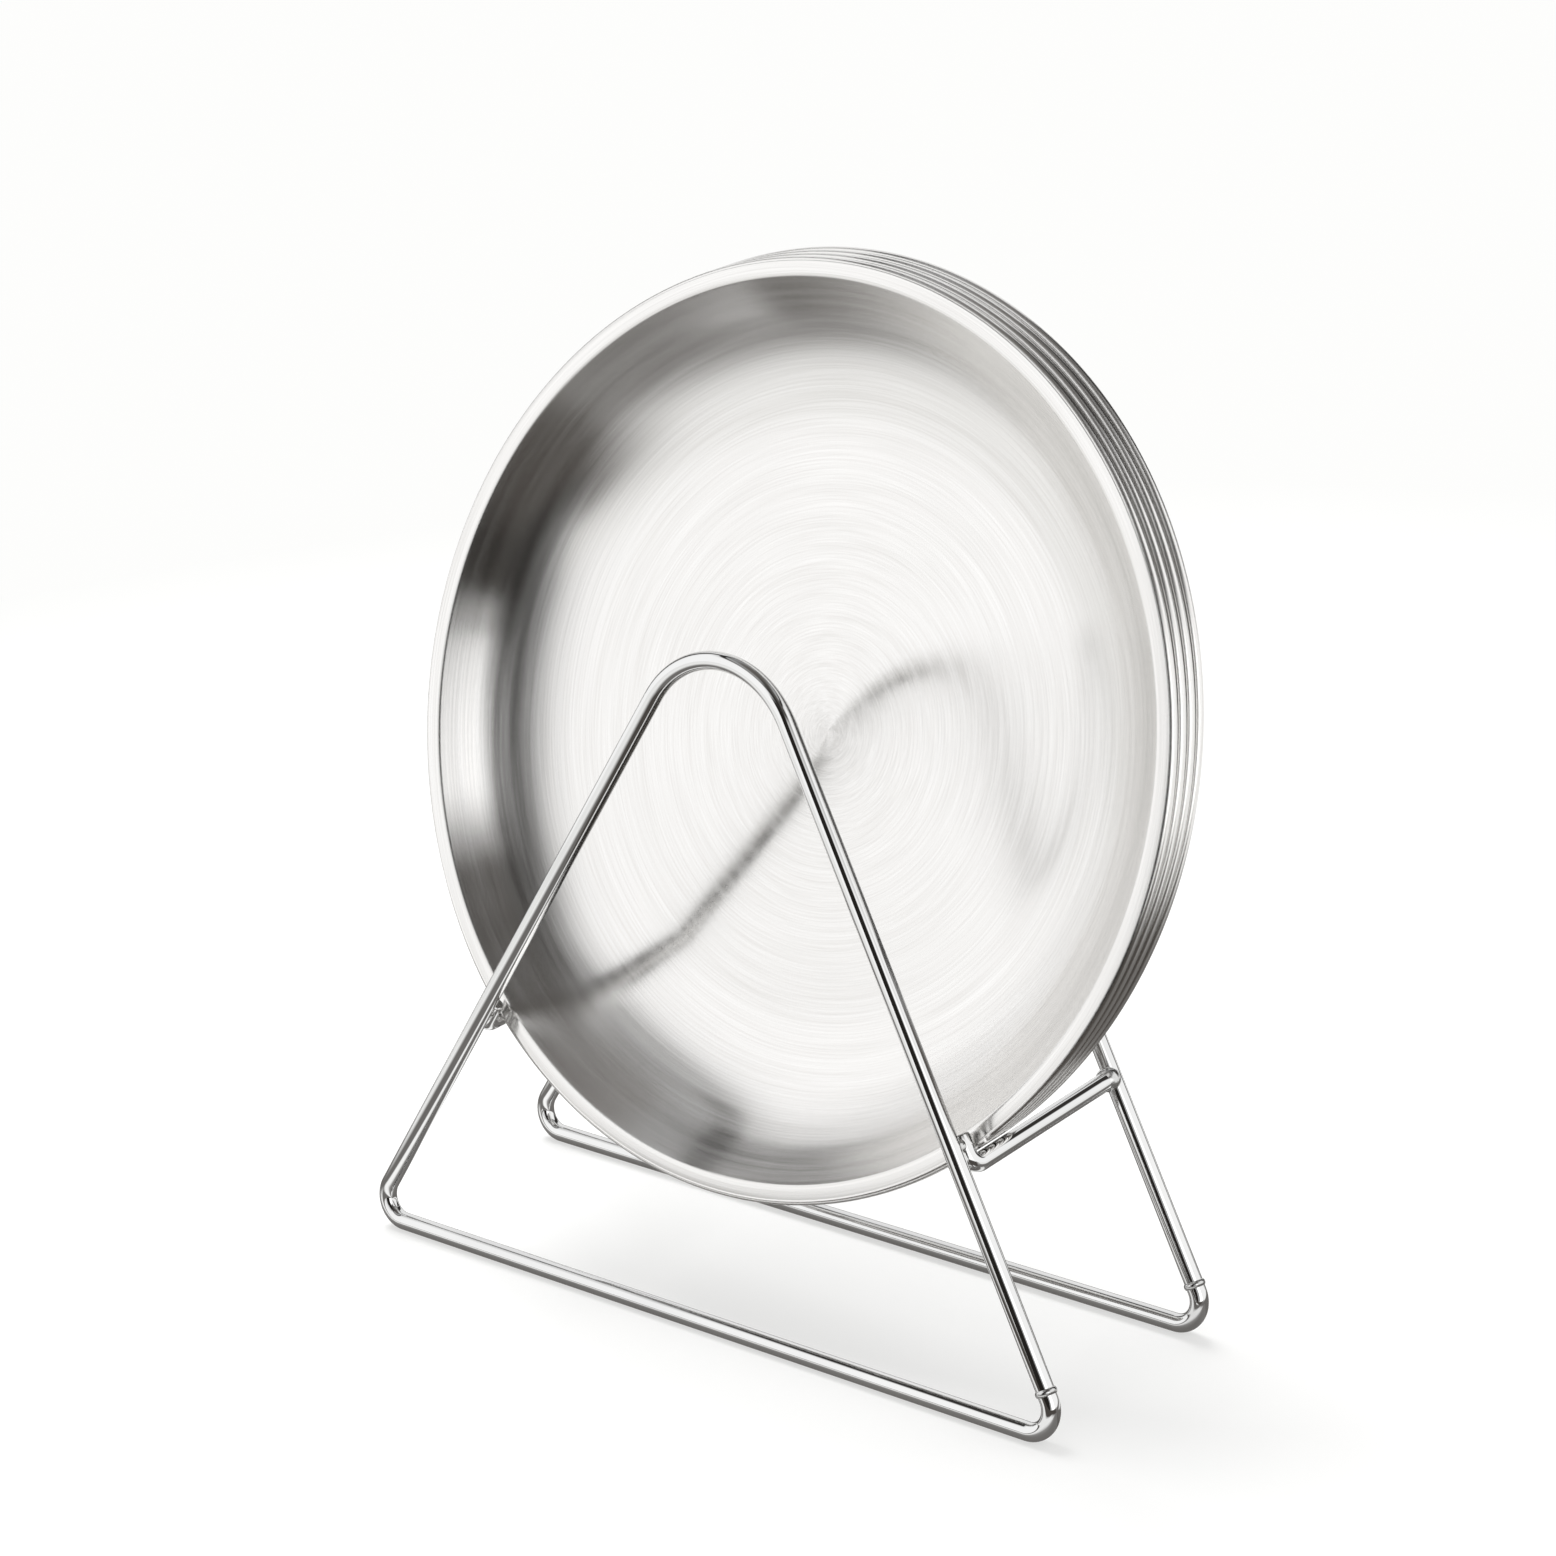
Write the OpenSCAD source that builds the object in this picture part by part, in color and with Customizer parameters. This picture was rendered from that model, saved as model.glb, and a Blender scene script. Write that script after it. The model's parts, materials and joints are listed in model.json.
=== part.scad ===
// Four round pressed-steel dishes, nested, leaning in a bent-wire rack.
// X runs along the base wires, Y from the front of the rack to the back, Z up.
// The origin is on the floor under the middle of the whole object.

/* [Dish] */
// Outside diameter over the rolled lip
dish_d = 200; // [160:1:240]
// Inside depth, from the top of the lip to the floor of the dish
dish_depth = 19.5; // [16:0.5:24]
// Thickness of the pressed sheet
sheet = 0.8; // [0.6:0.05:1]
// Width of the rolled lip, seen from the front
lip_w = 4; // [3:0.1:5]
// Thickness of the rolled lip, front to back
lip_t = 2.4; // [1.6:0.1:2.8]
// Slope of the wall, measured from the flat floor of the dish
wall_angle = 48; // [40:1:49]
// Radius where the wall turns into the floor
floor_bend = 40; // [10:1:44]

/* [Stack] */
// Gap between the lips of two nested dishes
lip_gap = 0.55; // [0.4:0.05:1.2]
// Lean of the dishes, back from upright
dish_lean = 18; // [12:0.5:22]
// Running gap between a dish and the wire that it rests on
rest_gap = 0.3; // [0.2:0.05:0.6]

/* [Rack] */
// Diameter of the wire
wire_d = 4; // [3:0.1:5]
// Distance between the points where the leg lines meet the base line
base_span = 194; // [170:1:230]
// Angle between a leg and the base wire
leg_angle = 59.5; // [56:0.5:64]
// Bend radius at the top of a loop, to the middle of the wire
apex_bend = 21; // [12:0.5:30]
// Bend radius at the foot of a leg, to the middle of the wire
foot_bend = 5.5; // [3:0.5:10]
// Lean of both loops, back from upright
loop_lean = 9.5; // [4:0.5:11]
// Height of the two rails, floor to the middle of the wire
rail_z = 51; // [44:0.5:58]
// Length of a rail's turned-up front end, from the middle of the rail
tab_l = 7; // [5:0.5:12]
// Bend radius of the turned-up end, to the middle of the wire
tab_bend = 2.6; // [2.6:0.1:4]
// How deep a weld lets one wire sink into another
weld_sink = 0.4; // [0.1:0.05:0.6]
// Thickness that a weld bead adds around a wire
weld_bead = 0.7; // [0.3:0.05:1]

/* [Hidden] */
chrome = [0.80, 0.81, 0.82];
steel = [0.74, 0.73, 0.72];
weld_grey = [0.62, 0.62, 0.62];
$fn = 96;

// The dish's profile, with the middle of its lip's top plane at the origin
dish_r = dish_d / 2;
mouth_r = dish_r - lip_w;
floor_r = mouth_r - floor_bend * sin(wall_angle)
    - (dish_depth - floor_bend * (1 - cos(wall_angle))) / tan(wall_angle);
edge_r = 1.1;
mouth_round = 1.6;

// The stack: each dish behind stands one pitch further along the rails
stack_last = 4;
pitch = lip_t + lip_gap;
rail_pitch = pitch / cos(dish_lean);

// One loop, in its own plane: a triangle of wire with three bends
wire_r = wire_d / 2;
base_half = base_span / 2;
peak_h = base_half * tan(leg_angle);
apex_h = peak_h - apex_bend / cos(leg_angle) + apex_bend;

// The rails cross the legs at this distance up the loop and from the middle
rail_up = (rail_z - wire_r) / cos(loop_lean);
rail_x = base_half - rail_up / tan(leg_angle);
rail_front = rail_up * sin(loop_lean);
tab_back = (wire_d - weld_sink) / cos(loop_lean);

// A dish rests on both rails by the back of its lip, just behind their turned-up ends
rest_r = dish_r + wire_r / cos(dish_lean) + rest_gap;
dish_drop = sqrt(rest_r * rest_r - rail_x * rail_x);
dish_z = rail_z + dish_drop * cos(dish_lean) + (lip_t - edge_r) * sin(dish_lean);
lip_front = rail_front + tab_back + wire_r / cos(loop_lean) + rest_gap;
dish_y = lip_front + (dish_z - rail_z) * tan(dish_lean);

// The rear loop's top touches the back of the last dish, which sets its distance
stack_depth = (stack_last - 1) * pitch + dish_depth + sheet + rest_gap + wire_r;
apex_z = wire_r + apex_h * cos(loop_lean);
loop_gap = dish_y + (stack_depth + (apex_z - dish_z) * sin(dish_lean)) / cos(dish_lean)
    - apex_h * sin(loop_lean);

// The whole object runs from the front base wire to the back of the last dish
back_y = dish_y + (stack_last - 1) * rail_pitch + floor_r * sin(dish_lean)
    + (dish_depth - floor_bend) * cos(dish_lean) + floor_bend + sheet;
middle_y = (back_y - wire_r) / 2;

// Points around an arc from one angle to another, the ends included
function arc(x, y, r, from, to, steps) =
    [for (i = [0:steps]) [x + r * cos(from + (to - from) * i / steps),
                          y + r * sin(from + (to - from) * i / steps)]];

// The wall's inner face, cut back where the mouth is rounded over into the lip
round_back = mouth_round * tan(wall_angle / 2);
bend_y = floor_bend - dish_depth;
back_in = lip_t / tan(wall_angle) - sheet / sin(wall_angle);
bend_steps = 24;
edge_steps = 8;

dish_outline = concat(
    [[0, -dish_depth]],
    arc(floor_r, bend_y, floor_bend, -90, wall_angle - 90, bend_steps),
    arc(mouth_r + round_back, -mouth_round, mouth_round, wall_angle + 90, 90, edge_steps),
    arc(dish_r - edge_r, -edge_r, edge_r, 90, 0, edge_steps),
    arc(dish_r - edge_r, edge_r - lip_t, edge_r, 0, -90, edge_steps),
    [[mouth_r - back_in, -lip_t]],
    arc(floor_r, bend_y, floor_bend + sheet, wall_angle - 90, -90, bend_steps),
    [[0, -dish_depth - sheet]]
);

// Place 1 is the dish in front
module dish(place) {
    color(steel)
    translate([0, dish_y - middle_y + (place - 1) * rail_pitch, dish_z])
    rotate([90 - dish_lean, 0, 0])
    rotate_extrude()
    polygon(dish_outline);
}

function unit(v) = v / norm(v);
function turn(a, b, c) = acos(unit(b - a) * unit(c - b));
function setback(a, b, c, r) = r * tan(turn(a, b, c) / 2);
function heading(v) = atan2(v[1], v[0]);
function side(a, b, c) = sign((b - a)[0] * (c - b)[1] - (b - a)[1] * (c - b)[0]);

// A straight length of wire between two points of the XY plane
module straight(a, b) {
    translate([a[0], a[1], 0])
    rotate([0, 90, heading(b - a)])
    cylinder(h = norm(b - a), r = wire_r);
}

// The wire's bend at b, on its way from a to c. The wire swells a little in a bend,
// and each straight length runs on into it.
bend_swell = 0.03;
bend_lap = 0.1;
module bend(a, b, c, r) {
    s = side(a, b, c);
    start = b - unit(b - a) * setback(a, b, c, r);
    translate([start[0], start[1], 0])
    rotate([0, 0, heading(b - a)])
    translate([0, s * r, 0])
    rotate([0, 0, s > 0 ? -90 : 90 - turn(a, b, c)])
    rotate_extrude(angle = turn(a, b, c))
    translate([r, 0])
    circle(r = wire_r + bend_swell);
}

foot_l = [-base_half, 0];
foot_r = [base_half, 0];
peak = [0, peak_h];

// A point on the line from a to b, a given distance from a
function along(a, b, d) = a + unit(b - a) * d;

foot_back = setback(foot_l, foot_r, peak, foot_bend) - bend_lap;
peak_back = setback(foot_r, peak, foot_l, apex_bend) - bend_lap;

// The loop of one bent wire, with its base wire's middle line on the X axis
module loop_wire() {
    straight(along(foot_l, foot_r, foot_back), along(foot_r, foot_l, foot_back));
    bend(foot_l, foot_r, peak, foot_bend);
    straight(along(foot_r, peak, foot_back), along(peak, foot_r, peak_back));
    bend(foot_r, peak, foot_l, apex_bend);
    straight(along(peak, foot_l, peak_back), along(foot_l, peak, foot_back));
    bend(peak, foot_l, foot_r, foot_bend);
}

// Stands a loop up on the floor, a distance behind the front one
module stand_up(behind) {
    translate([0, behind - middle_y, wire_r])
    rotate([90 - loop_lean, 0, 0])
    children();
}

module front_loop() {
    color(chrome)
    stand_up(0)
    loop_wire();
}

module rear_loop() {
    color(chrome)
    stand_up(loop_gap)
    loop_wire();
}

// The rail runs back from its tab, which lies up the back of the front leg
leg_in = atan(cos(leg_angle) / (sin(leg_angle) * cos(loop_lean)));
tab_lean = asin(sin(leg_angle) * sin(loop_lean));
rail_rear = loop_gap - wire_r / cos(loop_lean) + weld_sink;
rail_run = rail_rear - tab_back;
tab_top = [-sin(tab_lean) * tab_l, cos(tab_lean) * tab_l];
tab_setback = setback([-rail_run, 0], [0, 0], tab_top, tab_bend) - bend_lap;

// The right-hand rail, flat in the XY plane: -X is to the back and Y up the tab
module rail_wire() {
    straight([-rail_run, 0], [-tab_setback, 0]);
    bend([-rail_run, 0], [0, 0], tab_top, tab_bend);
    straight(along([0, 0], tab_top, tab_setback), tab_top);
}

// Sets the flat rail at the right-hand leg, leaning in as the leg does
module set_rail() {
    translate([rail_x, rail_front + tab_back - middle_y, rail_z])
    rotate([0, -leg_in, 0])
    rotate([90, 0, -90])
    children();
}

// The straight stretch of a loop's right-hand leg, that other things are fitted to
module leg_wire() {
    straight(along(foot_r, peak, foot_back), along(peak, foot_r, peak_back));
}

module right_rail() {
    color(chrome)
    difference() {
        set_rail() rail_wire();
        stand_up(0) leg_wire();
        stand_up(loop_gap) leg_wire();
    }
}

module left_rail() {
    mirror([1, 0, 0])
    right_rail();
}

// Weld in the two grooves between the right-hand tab and the front leg
module tab_bead() {
    spot = along([0, 0], tab_top, tab_l - wire_r);
    difference() {
        translate([0, -tab_back / 2, 0])
        set_rail()
        translate([spot[0], spot[1], 0])
        sphere(r = wire_r - bend_lap);
        stand_up(0) leg_wire();
        set_rail() straight([0, 0], tab_top);
    }
}

// A collar of weld around the right-hand rail, where it butts on the rear leg
module rail_collar() {
    difference() {
        translate([rail_x, rail_front + rail_rear - middle_y, rail_z])
        sphere(r = wire_r + weld_bead);
        stand_up(loop_gap) leg_wire();
        set_rail() straight([-rail_run, 0], [0, 0]);
    }
}

// The welds that hold the two rails to the two loops
module rail_welds() {
    color(weld_grey)
    for (flip = [0, 1])
    mirror([flip, 0, 0]) {
        tab_bead();
        rail_collar();
    }
}

// Each loop's wire is closed by a butt weld, left as a thin ring low on its right leg
ring_up = foot_back + 1.5;
ring_r = 0.9;
ring_proud = 0.35;
module closing_ring() {
    spot = along(foot_r, peak, ring_up);
    difference() {
        translate([spot[0], spot[1], 0])
        rotate([0, 90, heading(peak - foot_r)])
        rotate_extrude()
        translate([wire_r + ring_proud - ring_r, 0])
        circle(r = ring_r);
        leg_wire();
    }
}

module loop_welds() {
    color(weld_grey) {
        stand_up(0) closing_ring();
        stand_up(loop_gap) closing_ring();
    }
}

front_loop();
rear_loop();
left_rail();
right_rail();
rail_welds();
loop_welds();
dish(1);  // dish_1
dish(2);  // dish_2
dish(3);  // dish_3
dish(4);  // dish_4
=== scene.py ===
import json
import math

import bpy
from mathutils import Matrix, Vector


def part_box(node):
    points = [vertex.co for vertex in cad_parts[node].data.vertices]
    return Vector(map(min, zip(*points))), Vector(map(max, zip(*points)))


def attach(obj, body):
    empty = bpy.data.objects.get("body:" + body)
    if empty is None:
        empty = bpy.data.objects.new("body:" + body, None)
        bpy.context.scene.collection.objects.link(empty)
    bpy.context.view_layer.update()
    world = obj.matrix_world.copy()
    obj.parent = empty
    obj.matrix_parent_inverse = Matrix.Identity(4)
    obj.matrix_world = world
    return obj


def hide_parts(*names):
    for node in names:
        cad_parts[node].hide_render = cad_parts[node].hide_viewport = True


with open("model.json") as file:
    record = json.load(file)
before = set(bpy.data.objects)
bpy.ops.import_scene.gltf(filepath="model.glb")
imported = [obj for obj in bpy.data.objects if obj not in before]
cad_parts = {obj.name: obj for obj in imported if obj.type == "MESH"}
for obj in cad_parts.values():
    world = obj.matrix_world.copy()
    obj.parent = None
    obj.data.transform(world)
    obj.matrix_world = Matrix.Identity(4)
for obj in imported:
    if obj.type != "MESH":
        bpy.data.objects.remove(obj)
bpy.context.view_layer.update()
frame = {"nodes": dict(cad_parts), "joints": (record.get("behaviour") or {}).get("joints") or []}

# ---- Viewpoint
# A long lens a good arm's length away, to the right of the rack's front and a little above
# the stack, held slightly off level as in the photograph.
photo_side = 1556.0
focal_pixels = 3905.86
film_width = 36.0
camera_place = Vector((0.503859, -0.594660, 0.402083))
turn_right = math.radians(40.4374)
look_down = math.radians(20.3823)
off_level = math.radians(-3.9349)

camera_data = bpy.data.cameras.new("viewpoint")
camera_data.sensor_width = film_width
camera_data.lens = focal_pixels * film_width / photo_side
camera_data.clip_start = 0.01
camera = bpy.data.objects.new("viewpoint", camera_data)
bpy.context.collection.objects.link(camera)
level_share = math.cos(look_down)
toward = Vector((math.sin(turn_right) * level_share,
                 -math.cos(turn_right) * level_share,
                 math.sin(look_down)))
level_right = (-toward).cross(Vector((0, 0, 1))).normalized()
level_up = level_right.cross(-toward)
view_right = level_right * math.cos(off_level) + level_up * math.sin(off_level)
view_up = level_up * math.cos(off_level) - level_right * math.sin(off_level)
turned = Matrix((view_right, view_up, toward)).transposed().to_4x4()
camera.matrix_world = Matrix.Translation(camera_place) @ turned
bpy.context.scene.camera = camera
bpy.context.scene.view_settings.view_transform = "Standard"

# ---- Front loop
# One length of round drawn steel wire, bent into a triangle with three round corners, its
# ends butt-welded, then chrome-plated. It stands on its base wire and leans back a little.
wire = 0.004
half_span = 0.097
leg_slope = math.radians(59.5)
top_bend = 0.021
foot_bend = 0.0055
loop_lean = math.radians(9.5)
# The middle of the frame is halfway through the depth of rack and dishes together.
front_base_y = -0.0426931
longest_cut = 0.006
wire_sides = 40
end_round = 0.0005
end_steps = 5
chrome_dark = (0.74, 0.74, 0.74)
chrome_light = (0.82, 0.82, 0.815)


def rounded_corner(before, corner, after, radius, steps):
    """Points around a bend of the wire's middle line, from one straight to the next."""
    to_before = (before - corner).normalized()
    to_after = (after - corner).normalized()
    half_opening = to_before.angle(to_after) / 2
    back = radius / math.tan(half_opening)
    middle = corner + (to_before + to_after).normalized() * radius / math.sin(half_opening)
    first = corner + to_before * back - middle
    last = corner + to_after * back - middle
    swing = first.angle(last)
    points = []
    for i in range(steps + 1):
        t = i / steps
        spoke = first * math.sin((1 - t) * swing) + last * math.sin(t * swing)
        points.append(middle + spoke / math.sin(swing))
    return points


def loop_path(base_y):
    """The middle line of a loop, with its straights cut into short lengths."""
    left = Vector((-half_span, 0, 0))
    right = Vector((half_span, 0, 0))
    peak = Vector((0, half_span * math.tan(leg_slope), 0))
    bends = rounded_corner(left, right, peak, foot_bend, 24)
    bends += rounded_corner(right, peak, left, top_bend, 48)
    bends += rounded_corner(peak, left, right, foot_bend, 24)
    flat = []
    for i, point in enumerate(bends):
        after = bends[(i + 1) % len(bends)]
        cuts = int((after - point).length / longest_cut)
        flat.append(point)
        flat += [point.lerp(after, (k + 1) / (cuts + 1)) for k in range(cuts)]
    rise, back = math.cos(loop_lean), math.sin(loop_lean)
    return [Vector((p.x, base_y + p.y * back, wire / 2 + p.y * rise)) for p in flat]


def wire_rings(path, closed):
    """A ring for each point of a wire's middle line: its middle, heading, radius and travel."""
    count = len(path)
    travel = 0.0
    rings = []
    for i, point in enumerate(path):
        ahead = path[(i + 1) % count] if closed or i < count - 1 else point
        behind = path[i - 1] if closed or i > 0 else point
        heading = ((ahead - point).normalized() + (point - behind).normalized()).normalized()
        rings.append((point, heading, wire / 2, travel))
        travel += (ahead - point).length
    return rings, travel


def round_ends(rings):
    """Takes the sharp edge off both cut ends of a wire."""
    first, first_heading, radius, first_travel = rings[0]
    last, last_heading, radius, last_travel = rings[-1]
    start, end = [], []
    for k in range(end_steps):
        angle = math.radians(90 * k / end_steps)
        inward = end_round * (1 - math.cos(angle))
        shrunk = radius - end_round + end_round * math.sin(angle)
        start.append((first + first_heading * inward, first_heading, shrunk, first_travel))
        end.insert(0, (last - last_heading * inward, last_heading, shrunk, last_travel))
    start.append((first + first_heading * end_round, first_heading, radius, first_travel + end_round))
    end.insert(0, (last - last_heading * end_round, last_heading, radius, last_travel - end_round))
    return start + rings[1:-1] + end


def make_piece(name, verts, faces, face_uvs):
    """Makes an object from its points and faces, with one or more sets of surface places."""
    mesh = bpy.data.meshes.new(name)
    mesh.from_pydata([v[:] for v in verts], [], faces)
    for layer_name, uvs in face_uvs.items():
        layer = mesh.uv_layers.new(name=layer_name)
        for polygon, corners in zip(mesh.polygons, uvs):
            for index, uv in zip(polygon.loop_indices, corners):
                layer.data[index].uv = uv
    for polygon in mesh.polygons:
        polygon.use_smooth = len(polygon.vertices) <= 4
    mesh.update()
    piece = bpy.data.objects.new(name, mesh)
    bpy.context.collection.objects.link(piece)
    return piece


def draw_wire(name, path, flat_normal, closed):
    """Sweeps the round wire along its middle line, which lies in one plane."""
    rings, whole_travel = wire_rings(path, closed)
    if not closed:
        rings = round_ends(rings)
    verts, faces, uvs = [], [], []
    for point, heading, radius, _ in rings:
        outward = heading.cross(flat_normal).normalized()
        for j in range(wire_sides):
            angle = 2 * math.pi * j / wire_sides
            verts.append(point + (outward * math.cos(angle) + flat_normal * math.sin(angle)) * radius)
    count = len(rings)
    for i in range(count if closed else count - 1):
        k = (i + 1) % count
        here = rings[i][3]
        there = rings[k][3] if k else whole_travel
        for j in range(wire_sides):
            m = (j + 1) % wire_sides
            low, high = j / wire_sides, (j + 1) / wire_sides
            faces.append((i * wire_sides + j, i * wire_sides + m, k * wire_sides + m, k * wire_sides + j))
            uvs.append(((here, low), (here, high), (there, high), (there, low)))
    if not closed:
        first_end = tuple(reversed(range(wire_sides)))
        last_end = tuple((count - 1) * wire_sides + j for j in range(wire_sides))
        for i, end in ((0, first_end), (count - 1, last_end)):
            faces.append(end)
            uvs.append([(rings[i][3], 0.5)] * wire_sides)
    return make_piece(name, verts, faces, {"drawn": uvs})


def new_metal(name):
    """A bare metal material, ready for its colour and roughness."""
    material = bpy.data.materials.new(name)
    material.use_nodes = True
    shader = material.node_tree.nodes["Principled BSDF"]
    shader.inputs["Metallic"].default_value = 1.0
    return material, material.node_tree, shader


def add(tree, kind, **settings):
    """Adds one shader node. Each setting is an input's name, with _ for a space."""
    node = tree.nodes.new("ShaderNode" + kind)
    for name, value in settings.items():
        node.inputs[name.replace("_", " ")].default_value = value
    return node


def links(tree, *pairs):
    """Joins sockets in a node tree, each pair from an output to an input."""
    for a, b in pairs:
        tree.links.new(a, b)


def tint_ramp(tree, source, stops, interpolation="LINEAR"):
    """A colour ramp from (position, colour) stops."""
    node = tree.nodes.new("ShaderNodeValToRGB")
    node.color_ramp.interpolation = interpolation
    while len(node.color_ramp.elements) < len(stops):
        node.color_ramp.elements.new(1.0)
    for element, (position, colour) in zip(node.color_ramp.elements, stops):
        element.position = position
        element.color = (*colour, 1)
    links(tree, (source, node.inputs["Fac"]))
    return node.outputs["Color"]


def bright_chrome():
    """Chrome plate on drawn wire: near mirror, with faint lengthwise draw lines and haze."""
    material, tree, shader = new_metal("chrome_on_drawn_wire")
    place = add(tree, "UVMap")
    place.uv_map = "drawn"
    stretch = add(tree, "Mapping", Scale=(60, 90, 1))
    lines = add(tree, "TexNoise", Scale=1.0, Detail=3.0)
    spot = add(tree, "TexCoord")
    haze = add(tree, "TexNoise", Scale=25.0, Detail=4.0)
    rough = add(tree, "MapRange", To_Min=0.015, To_Max=0.05)
    bump = add(tree, "Bump", Strength=0.012, Distance=0.0001)
    tint = tint_ramp(tree, haze.outputs["Fac"], [(0.3, chrome_dark), (0.7, chrome_light)])
    links(tree,
          (place.outputs["UV"], stretch.inputs["Vector"]),
          (stretch.outputs["Vector"], lines.inputs["Vector"]),
          (spot.outputs["Object"], haze.inputs["Vector"]),
          (tint, shader.inputs["Base Color"]),
          (haze.outputs["Fac"], rough.inputs["Value"]),
          (rough.outputs["Result"], shader.inputs["Roughness"]),
          (lines.outputs["Fac"], bump.inputs["Height"]),
          (bump.outputs["Normal"], shader.inputs["Normal"]))
    return material


chrome = bright_chrome()
loop_normal = Vector((0, -math.cos(loop_lean), math.sin(loop_lean)))
front_loop = draw_wire("front_loop_wire", loop_path(front_base_y), loop_normal, True)
front_loop.data.materials.append(chrome)
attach(front_loop, "rack")
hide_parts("front_loop")

# ---- Rear loop
# The same bent and welded wire again, standing behind the front one at the same lean. The
# back of the last dish rests against its round top.
loop_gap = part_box("rear_loop")[0][1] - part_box("front_loop")[0][1]
rear_base_y = front_base_y + loop_gap
rear_loop = draw_wire("rear_loop_wire", loop_path(rear_base_y), loop_normal, True)
rear_loop.data.materials.append(chrome)
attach(rear_loop, "rack")
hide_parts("rear_loop")

# ---- Rails
# Two short wires that tie the loops together and carry the dishes. Each is bent up at its
# front end into a tab that lies up the back of the front leg, and is welded there.
rail_height = 0.051
tab_length = 0.007
tab_bend = 0.0026
rail_cuts = 12
weld_sink = 0.0004
up_the_leg = (rail_height - wire / 2) / math.cos(loop_lean)
rail_side = half_span - up_the_leg / math.tan(leg_slope)
leg_y = front_base_y + up_the_leg * math.sin(loop_lean)
rail_front_y = leg_y + (wire - weld_sink) / math.cos(loop_lean)
rail_back_y = leg_y + loop_gap - (wire / 2 - weld_sink)

for side, name in ((-1, "left_rail"), (1, "right_rail")):
    up_leg = Vector((-side * math.cos(leg_slope),
                     math.sin(leg_slope) * math.sin(loop_lean),
                     math.sin(leg_slope) * math.cos(loop_lean)))
    back_end = Vector((side * rail_side, rail_back_y, rail_height))
    corner = Vector((side * rail_side, rail_front_y, rail_height))
    tab_end = corner + up_leg * tab_length
    path = [back_end + (corner - back_end) * k / rail_cuts for k in range(rail_cuts - 1)]
    path += rounded_corner(back_end, corner, tab_end, tab_bend, 20)
    path += [path[-1].lerp(tab_end, 0.5), tab_end]
    rail_normal = (corner - back_end).cross(up_leg).normalized()
    rail = draw_wire(name + "_wire", path, rail_normal, False)
    rail.data.materials.append(chrome)
    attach(rail, "rack")
    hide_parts(name)

# ---- Welds
# Small runs of weld metal where the rails meet the legs, and the thin ring low on each right
# leg where a loop's ends were butted together. They are plated over with the wire.
weld_dark = (0.55, 0.55, 0.55)
weld_light = (0.78, 0.78, 0.77)

weld, weld_tree, weld_shader = new_metal("plated_weld_metal")
weld_spot = add(weld_tree, "TexCoord")
weld_grain = add(weld_tree, "TexNoise", Scale=900.0, Detail=3.0)
weld_rough = add(weld_tree, "MapRange", To_Min=0.12, To_Max=0.30)
weld_bump = add(weld_tree, "Bump", Strength=0.3, Distance=0.0002)
weld_tint = tint_ramp(weld_tree, weld_grain.outputs["Fac"], [(0.0, weld_dark), (1.0, weld_light)])
links(weld_tree,
      (weld_spot.outputs["Object"], weld_grain.inputs["Vector"]),
      (weld_tint, weld_shader.inputs["Base Color"]),
      (weld_grain.outputs["Fac"], weld_rough.inputs["Value"]),
      (weld_rough.outputs["Result"], weld_shader.inputs["Roughness"]),
      (weld_grain.outputs["Fac"], weld_bump.inputs["Height"]),
      (weld_bump.outputs["Normal"], weld_shader.inputs["Normal"]))
for name in ("rail_welds", "loop_welds"):
    frame["nodes"][name].data.materials.clear()
    frame["nodes"][name].data.materials.append(weld)

# ---- Dishes
# Round stainless sheet, pressed to a flat-bottomed dish with a sloping wall, its edge curled
# into a narrow lip, then spun against abrasive so that fine rings run round the middle.
dish_radius = 0.100
lip_width = 0.004
lip_thick = 0.0024
lip_gap = 0.00055
lip_round = 0.0011
lip_crown = 0.00012
crown_inset = 0.0003
mouth_round = 0.0016
dish_deep = 0.0195
sheet = 0.0008
wall_angle = 48.0
floor_bend = 0.040
dish_lean = math.radians(18)
dish_sides = 288
steel_dark = (0.77, 0.758, 0.742)
steel_light = (0.90, 0.892, 0.88)
turning = next(joint for joint in frame["joints"] if joint["name"] == "dish_1_turn")
front_dish_y, dish_height = turning["pos_m"][1:]
dish_step = (lip_thick + lip_gap) / math.cos(dish_lean)


def arc(r, z, radius, start, stop, steps):
    """Points of an arc in the dish's section, from one angle in degrees to another."""
    span = [math.radians(start + (stop - start) * i / steps) for i in range(steps + 1)]
    return [(r + radius * math.cos(a), z + radius * math.sin(a)) for a in span]


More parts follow.
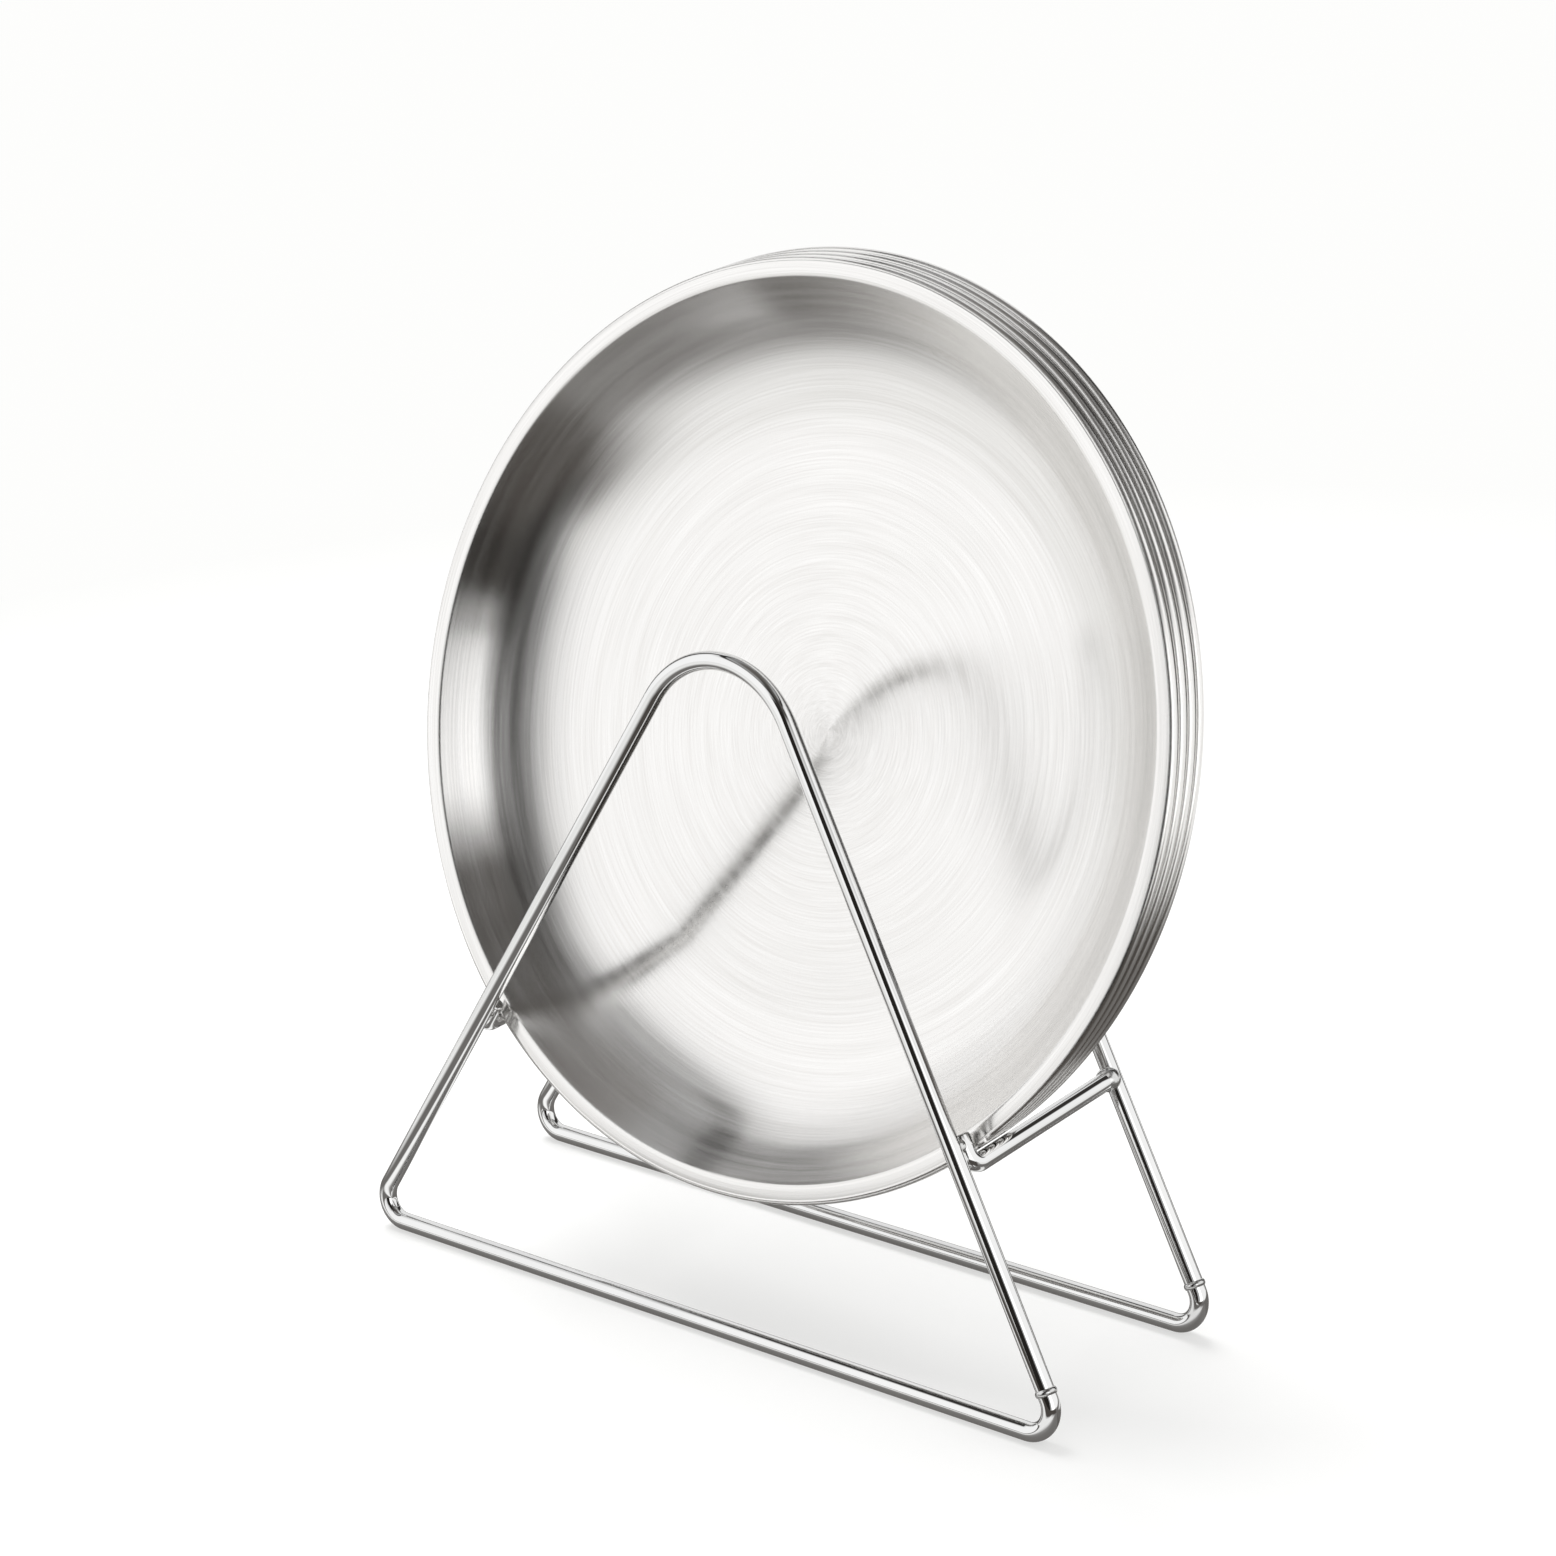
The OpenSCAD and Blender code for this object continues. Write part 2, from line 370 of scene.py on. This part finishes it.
def dish_profile():
    """Half the dish's section, as (distance from the middle, height above the lip's top)."""
    wall = math.radians(wall_angle)
    mouth = dish_radius - lip_width
    wall_drop = dish_deep - floor_bend * (1 - math.cos(wall))
    flat = mouth - floor_bend * math.sin(wall) - wall_drop / math.tan(wall)
    bend_z = floor_bend - dish_deep
    mouth_r = mouth + mouth_round * math.tan(wall / 2)
    crown_start = mouth_r + crown_inset
    rim = dish_radius - lip_round
    run = rim - crown_start
    crown_bow = (run ** 2 + lip_crown ** 2) / (2 * lip_crown)
    tilt = math.degrees(math.asin(run / crown_bow))
    under_lip = mouth - (lip_thick / math.tan(wall) - sheet / math.sin(wall))

    points = [(flat * i / 30, -dish_deep) for i in range(30)]
    points += arc(flat, bend_z, floor_bend, -90, wall_angle - 90, 40)
    points += arc(mouth_r, -mouth_round, mouth_round, 90 + wall_angle, 90, 10)
    points += arc(crown_start, -crown_bow - lip_round, crown_bow + lip_round, 90, 90 - tilt, 8)
    points += arc(rim, -lip_round - lip_crown, lip_round, 90 - tilt, 0, 12)
    points += arc(rim, lip_round - lip_thick, lip_round, 0, -90, 12)
    points += [(under_lip, -lip_thick)]
    points += arc(flat, bend_z, floor_bend + sheet, wall_angle - 90, -90, 40)
    points += [(flat * (1 - i / 16), -dish_deep - sheet) for i in range(1, 17)]
    return points


def spin_dish(name, place):
    """Spins the section round the dish's own middle line and stands it in the rack."""
    profile = dish_profile()
    spot = Vector((0, front_dish_y + (place - 1) * dish_step, dish_height))
    stand = Matrix.Translation(spot) @ Matrix.Rotation(math.radians(90) - dish_lean, 4, "X")
    travel = [0.0]
    for (r0, z0), (r1, z1) in zip(profile, profile[1:]):
        travel.append(travel[-1] + math.hypot(r1 - r0, z1 - z0))
    verts = []
    for r, z in profile[1:-1]:
        for j in range(dish_sides):
            a = 2 * math.pi * j / dish_sides
            verts.append(stand @ Vector((r * math.cos(a), r * math.sin(a), z)))
    verts.append(stand @ Vector((0, 0, profile[0][1])))
    verts.append(stand @ Vector((0, 0, profile[-1][1])))
    front_middle, back_middle = len(verts) - 2, len(verts) - 1
    faces, ring_uvs, turn_uvs = [], [], []

    def put_face(corners, places):
        """Adds a face. Each place is a corner's step round the dish and along the section."""
        turned_by = [2 * math.pi * step / dish_sides for step, _ in places]
        faces.append(corners)
        ring_uvs.append([(a, travel[k]) for a, (_, k) in zip(turned_by, places)])
        turn_uvs.append([(math.cos(a), math.sin(a)) for a in turned_by])

    rows = len(profile) - 2
    last = (rows - 1) * dish_sides
    for i in range(rows - 1):
        here, there = i * dish_sides, (i + 1) * dish_sides
        for j in range(dish_sides):
            m = (j + 1) % dish_sides
            put_face((there + j, there + m, here + m, here + j),
                     ((j, i + 2), (j + 1, i + 2), (j + 1, i + 1), (j, i + 1)))
    for j in range(dish_sides):
        m = (j + 1) % dish_sides
        put_face((j, m, front_middle), ((j, 1), (j + 1, 1), (j + 0.5, 0)))
        put_face((last + m, last + j, back_middle), ((j + 1, rows), (j, rows), (j + 0.5, rows + 1)))
    return make_piece(name, verts, faces, {"rings": ring_uvs, "turn": turn_uvs})


def calc(tree, operation, a, b=0.0):
    """One sum in a node tree, of two sockets or numbers."""
    node = tree.nodes.new("ShaderNodeMath")
    node.operation = operation
    for socket, value in zip(node.inputs, (a, b)):
        if isinstance(value, (int, float)):
            socket.default_value = value
        else:
            links(tree, (value, socket))
    return node.outputs["Value"]


def spun_steel():
    """Satin stainless: fine rings of differing width, depth and dullness round the middle."""
    material, tree, shader = new_metal("spun_satin_steel")
    shader.inputs["Anisotropic"].default_value = 0.9
    shader.inputs["Anisotropic Rotation"].default_value = 0.25
    rings = add(tree, "UVMap")
    rings.uv_map = "rings"
    turn = add(tree, "UVMap")
    turn.uv_map = "turn"
    tangent = add(tree, "Tangent")
    tangent.direction_type = "UV_MAP"
    tangent.uv_map = "rings"
    along_section = add(tree, "SeparateXYZ")
    round_dish = add(tree, "SeparateXYZ")
    links(tree,
          (rings.outputs["UV"], along_section.inputs["Vector"]),
          (turn.outputs["UV"], round_dish.inputs["Vector"]))

    def streaks(across, along, detail):
        """Noise drawn out round the rings: across in lines a metre, along in turns."""
        join = add(tree, "CombineXYZ")
        noise = add(tree, "TexNoise", Scale=1.0, Detail=detail)
        links(tree,
              (calc(tree, "MULTIPLY", round_dish.outputs["X"], along), join.inputs["X"]),
              (calc(tree, "MULTIPLY", round_dish.outputs["Y"], along), join.inputs["Y"]),
              (calc(tree, "MULTIPLY", along_section.outputs["Y"], across), join.inputs["Z"]),
              (join.outputs["Vector"], noise.inputs["Vector"]))
        return noise.outputs["Fac"]

    fine = streaks(2600, 2.2, 2.0)
    broad = streaks(420, 1.3, 3.0)
    both = add(tree, "Mix", Factor=0.45)
    rough = add(tree, "MapRange", From_Min=0.3, From_Max=0.7, To_Min=0.17, To_Max=0.23)
    bump = add(tree, "Bump", Strength=0.10, Distance=0.00005)
    tint = tint_ramp(tree, both.outputs["Result"], [(0.32, steel_dark), (0.66, steel_light)])
    links(tree,
          (fine, both.inputs["A"]),
          (broad, both.inputs["B"]),
          (tint, shader.inputs["Base Color"]),
          (broad, rough.inputs["Value"]),
          (rough.outputs["Result"], shader.inputs["Roughness"]),
          (fine, bump.inputs["Height"]),
          (bump.outputs["Normal"], shader.inputs["Normal"]),
          (tangent.outputs["Tangent"], shader.inputs["Tangent"]))
    return material


satin = spun_steel()
for place in (1, 2, 3, 4):
    dish = spin_dish(f"dish_{place}_spun", place)
    dish.data.materials.append(satin)
    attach(dish, f"dish_{place}")
    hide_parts(f"dish_{place}")

# ---- Ground
# A plain white sweep under the rack. It shows white, a little less so round the rack, and
# keeps the soft shadows that the base wires and the stack throw on it.
ground_reach = 6.0
paper_colour = (0.93, 0.93, 0.925, 1)
shown_white = (0.985, 0.985, 0.975, 1)


def lay_square(name, reach, height):
    """A level square sheet, spread round the middle of the rack."""
    signs = ((-1, -1), (1, -1), (1, 1), (-1, 1))
    return make_piece(name, [(x * reach, y * reach, height) for x, y in signs], [(0, 1, 2, 3)], {})


def new_paint(name):
    """A material with nothing on it yet, its node tree, and the socket its surface goes into."""
    material = bpy.data.materials.new(name)
    material.use_nodes = True
    tree = material.node_tree
    tree.nodes.remove(tree.nodes["Principled BSDF"])
    return material, tree, tree.nodes["Material Output"].inputs["Surface"]


def far_out(tree, place):
    """How far a point is from the middle of the rack."""
    node = tree.nodes.new("ShaderNodeVectorMath")
    node.operation = "LENGTH"
    links(tree, (place, node.inputs[0]))
    return node.outputs["Value"]


def mixed(tree, share, first, second):
    """Shows the first shader where the share is 0 and the second where it is 1."""
    node = tree.nodes.new("ShaderNodeMixShader")
    links(tree, (share, node.inputs[0]), (first, node.inputs[1]), (second, node.inputs[2]))
    return node.outputs["Shader"]


ground = lay_square("white_ground", ground_reach, 0.0)
paper, paper_tree, paper_surface = new_paint("white_paper")
paper_white = add(paper_tree, "BsdfDiffuse", Color=paper_colour)
paper_glow = add(paper_tree, "Emission", Color=shown_white)
paper_ray = add(paper_tree, "LightPath")
paper_place = add(paper_tree, "TexCoord")
paper_fade = add(paper_tree, "MapRange", From_Min=0.12, From_Max=0.60, To_Min=0.60, To_Max=1.0)
paper_seen = paper_ray.outputs["Is Camera Ray"]
for kind_of_ray in ("Is Glossy Ray", "Is Transmission Ray"):
    paper_seen = calc(paper_tree, "MAXIMUM", paper_seen, paper_ray.outputs[kind_of_ray])
glow_share = calc(paper_tree, "MULTIPLY", paper_seen, paper_fade.outputs["Result"])
paper_look = mixed(paper_tree, glow_share, paper_white.outputs["BSDF"], paper_glow.outputs["Emission"])
links(paper_tree,
      (far_out(paper_tree, paper_place.outputs["Object"]), paper_fade.inputs["Value"]),
      (paper_look, paper_surface))
ground.data.materials.append(paper)

# ---- Dark cloths
# Black cloth laid on the ground round the rack, and one upright card to its front right, as
# studios do for bright metal. Only the polished surfaces see them, as dark lines and shades.
cloth_reach = 1.8
cloth_height = 0.0001
bare_ahead = 0.014
cloth_black = (0.080, 0.072, 0.065, 1)
felt_black = (0.020, 0.018, 0.016, 1)
card_left = (0.020, -0.345)
card_right = (0.243, -0.270)
card_foot = 0.001
card_top = 0.42


def seen_in_metal_only(thing):
    """Hides a thing from the camera and from soft light, so that only mirroring shows it."""
    thing.visible_camera = False
    thing.visible_diffuse = False
    thing.visible_shadow = False
    thing.visible_transmission = False


def ramp(tree, source, stops):
    """A soft grey ramp from (position, level) stops. Its dark tones are a little warm."""
    warmed = [(position, (level, level * 0.93, level * 0.87) if level < 0.2 else (level,) * 3)
              for position, level in stops]
    return tint_ramp(tree, source, warmed, "EASE")


def ramp_round(tree, bearing, stops):
    """A ramp over bearings in degrees: 0 is straight ahead of the rack and 90 to its right."""
    return ramp(tree, bearing, [(angle / 360 + 0.5, level) for angle, level in stops])


def bearing_of(tree, place, ahead):
    """Bearing of a point or direction, seen from a spot ahead of the middle, as a share of a turn."""
    across = add(tree, "SeparateXYZ")
    links(tree, (place, across.inputs["Vector"]))
    forward = calc(tree, "SUBTRACT", -ahead, across.outputs["Y"])
    angle = calc(tree, "ARCTAN2", across.outputs["X"], forward)
    return calc(tree, "ADD", calc(tree, "MULTIPLY", angle, 1 / (2 * math.pi)), 0.5)


flag = lay_square("dark_flag", cloth_reach, cloth_height)
seen_in_metal_only(flag)
cloth, cloth_tree, cloth_surface = new_paint("dark_cloth")
cloth_place = add(cloth_tree, "TexCoord").outputs["Object"]
cloth_parts = add(cloth_tree, "SeparateXYZ")
links(cloth_tree, (cloth_place, cloth_parts.inputs["Vector"]))
cloth_far = far_out(cloth_tree, cloth_place)
cloth_bearing = bearing_of(cloth_tree, cloth_place, 0.03)


def along_y(base_y, stops):
    """A ramp over the distance before or behind a line across the rack."""
    away = calc(cloth_tree, "SUBTRACT", cloth_parts.outputs["Y"], base_y)
    return ramp(cloth_tree, calc(cloth_tree, "ABSOLUTE", away), stops)


def bare_before(base_y):
    """Leaves the white ground open in a strip before one base wire, which the wire mirrors."""
    return along_y(base_y - bare_ahead, [(0.012, 0.0), (0.020, 1.0)])


def shade_strip_under(base_y):
    """Dark strip under one base wire, a painted shade that stands in for the wire's contact shadow and
    darkens the wire's lower side, which mirrors it.
    """
    return along_y(base_y, [(0.006, 0.85), (0.014, 0.0)])


# To the right, a wide piece of cloth that ends a metre out.
right_piece = calc(cloth_tree, "MULTIPLY",
                   ramp_round(cloth_tree, cloth_bearing, [(-25, 0.0), (8, 1.0), (84, 1.0), (104, 0.0)]),
                   ramp(cloth_tree, cloth_far, [(0.6, 1.0), (1.0, 0.0)]))
# In front, a piece that thins out within half a metre.
front_piece = calc(cloth_tree, "MULTIPLY",
                   ramp_round(cloth_tree, cloth_bearing, [(-125, 0.0), (-85, 1.0), (84, 1.0), (104, 0.0)]),
                   ramp(cloth_tree, cloth_far, [(0.12, 0.88), (0.42, 0.0)]))
# All round the rack, a smaller one. To the left, a narrow strip that starts farther out.
close_piece = ramp(cloth_tree, cloth_far, [(0.18, 0.90), (0.34, 0.0)])
strip_sides = [(-119, 0.0), (-116, 0.9), (-104, 0.9), (-101, 0.0)]
left_strip = calc(cloth_tree, "MULTIPLY",
                  ramp_round(cloth_tree, cloth_bearing, strip_sides),
                  ramp(cloth_tree, cloth_far, [(0.25, 0.0), (0.35, 1.0)]))
cloth_share = right_piece
for piece_of_cloth in (front_piece, close_piece, left_strip):
    cloth_share = calc(cloth_tree, "MAXIMUM", cloth_share, piece_of_cloth)
# The bare strips lie between the rack's sides only.
sideways = calc(cloth_tree, "ABSOLUTE", cloth_parts.outputs["X"])
not_bare = calc(cloth_tree, "MINIMUM", bare_before(front_base_y), bare_before(rear_base_y))
not_bare = calc(cloth_tree, "MAXIMUM", not_bare, ramp(cloth_tree, sideways, [(0.105, 0.0), (0.135, 1.0)]))
cloth_share = calc(cloth_tree, "MULTIPLY", cloth_share, not_bare)
# Painted shade: a dark strip under each base wire stands in for that wire's contact shadow, as the wire's
# lower side mirrors it.
for base_y in (front_base_y, rear_base_y):
    cloth_share = calc(cloth_tree, "MAXIMUM", cloth_share, shade_strip_under(base_y))
cloth_dark = add(cloth_tree, "Emission", Color=cloth_black)
no_cloth = add(cloth_tree, "BsdfTransparent")
cloth_look = mixed(cloth_tree, cloth_share, no_cloth.outputs["BSDF"], cloth_dark.outputs["Emission"])
links(cloth_tree, (cloth_look, cloth_surface))
flag.data.materials.append(cloth)

card_corners = [(*card_left, card_foot), (*card_right, card_foot),
                (*card_right, card_top), (*card_left, card_top)]
card = make_piece("dark_card", card_corners, [(0, 1, 2, 3)], {})
seen_in_metal_only(card)
felt, felt_tree, felt_surface = new_paint("dark_felt")
felt_dark = add(felt_tree, "Emission", Color=felt_black)
links(felt_tree, (felt_dark.outputs["Emission"], felt_surface))
card.data.materials.append(felt)

# ---- Studio
# A plain white room. The metal sees it as bright panels with dark gaps between them and a
# darker ceiling, which is what makes polished steel look round. One broad lamp casts shadows.
lamp_place = Vector((-0.55, 0.35, 1.3))
lamp_aim = Vector((0, 0, 0.05))
soft_grey = (0.60, 0.60, 0.60, 1)

world = bpy.data.worlds.new("white_studio")
bpy.context.scene.world = world
world.use_nodes = True
sky = world.node_tree
sky.nodes.clear()
sky_out = add(sky, "OutputWorld")
sky_ray = add(sky, "LightPath")
sky_way = add(sky, "TexCoord").outputs["Generated"]
sky_parts = add(sky, "SeparateXYZ")
links(sky, (sky_way, sky_parts.inputs["Vector"]))
bearing = bearing_of(sky, sky_way, 0.0)
rise = calc(sky, "ARCSINE", sky_parts.outputs["Z"])
height = calc(sky, "ADD", calc(sky, "MULTIPLY", rise, 1 / math.pi), 0.5)


def ramp_up(stops):
    """A ramp over heights in degrees, from -90 straight down to 90 overhead."""
    return ramp(sky, height, [(angle / 180 + 0.5, level) for angle, level in stops])


def blend_of(kind, share, a, b):
    """Joins two colours of the room by one way of mixing."""
    node = add(sky, "Mix")
    node.data_type = "RGBA"
    node.blend_type = kind
    for name, value in (("Factor", share), ("A", a), ("B", b)):
        if isinstance(value, (float, tuple)):
            node.inputs[name].default_value = value
        else:
            links(sky, (value, node.inputs[name]))
    return node.outputs["Result"]


# The panels, round the room: a gap behind, the left-hand panels, a narrow gap, the wide bright
# front, a slope to grey at the right with one bright strip, and a panel at the right rear.
panels = ramp_round(sky, bearing, [
    (-180, 0.04), (-172, 0.04), (-165, 0.95), (-114, 0.95), (-111, 0.06), (-99, 0.06),
    (-95, 0.95), (-80, 1.14), (-8, 1.14), (2, 1.0), (24, 0.6), (45, 0.35),
    (48, 1.7), (72, 1.7), (84, 1.1), (148, 1.1), (156, 0.04), (180, 0.04)])
overhead = ramp_up([(50, 0.0), (78, 1.0)])
# The ceiling has one black gap at 56 degrees up. Over the right-hand side it starts lower.
ceiling = ramp_up([
    (-90, 1.0), (44, 1.0), (52, 0.75), (54, 0.04), (58, 0.04),
    (60, 0.45), (66, 0.33), (75, 0.16), (90, 0.12)])
right_ceiling = ramp_up([(-90, 1.0), (27, 1.0), (46, 0.06), (70, 0.08), (90, 0.12)])
to_the_right = ramp_round(sky, bearing, [(-4, 0.0), (24, 1.0), (78, 1.0), (90, 0.0)])
ceiling = blend_of("MIX", to_the_right, ceiling, right_ceiling)
walls = blend_of("MIX", overhead, panels, (1.0, 1.0, 1.0, 1.0))
mirrored_room = add(sky, "Background")
links(sky, (blend_of("MULTIPLY", 1.0, walls, ceiling), mirrored_room.inputs["Color"]))
plain_room = add(sky, "Background", Color=shown_white)
soft_room = add(sky, "Background", Color=soft_grey)
room = soft_room.outputs["Background"]
room = mixed(sky, sky_ray.outputs["Is Glossy Ray"], room, mirrored_room.outputs["Background"])
room = mixed(sky, sky_ray.outputs["Is Camera Ray"], room, plain_room.outputs["Background"])
links(sky, (room, sky_out.inputs["Surface"]))

lamp_data = bpy.data.lights.new("soft_lamp", "AREA")
lamp_data.shape = "DISK"
lamp_data.size = 0.9
lamp_data.energy = 24.0
lamp = bpy.data.objects.new("soft_lamp", lamp_data)
bpy.context.collection.objects.link(lamp)
lamp.location = lamp_place
lamp.rotation_euler = (lamp_aim - lamp_place).to_track_quat("-Z", "Y").to_euler()
lamp.visible_glossy = False
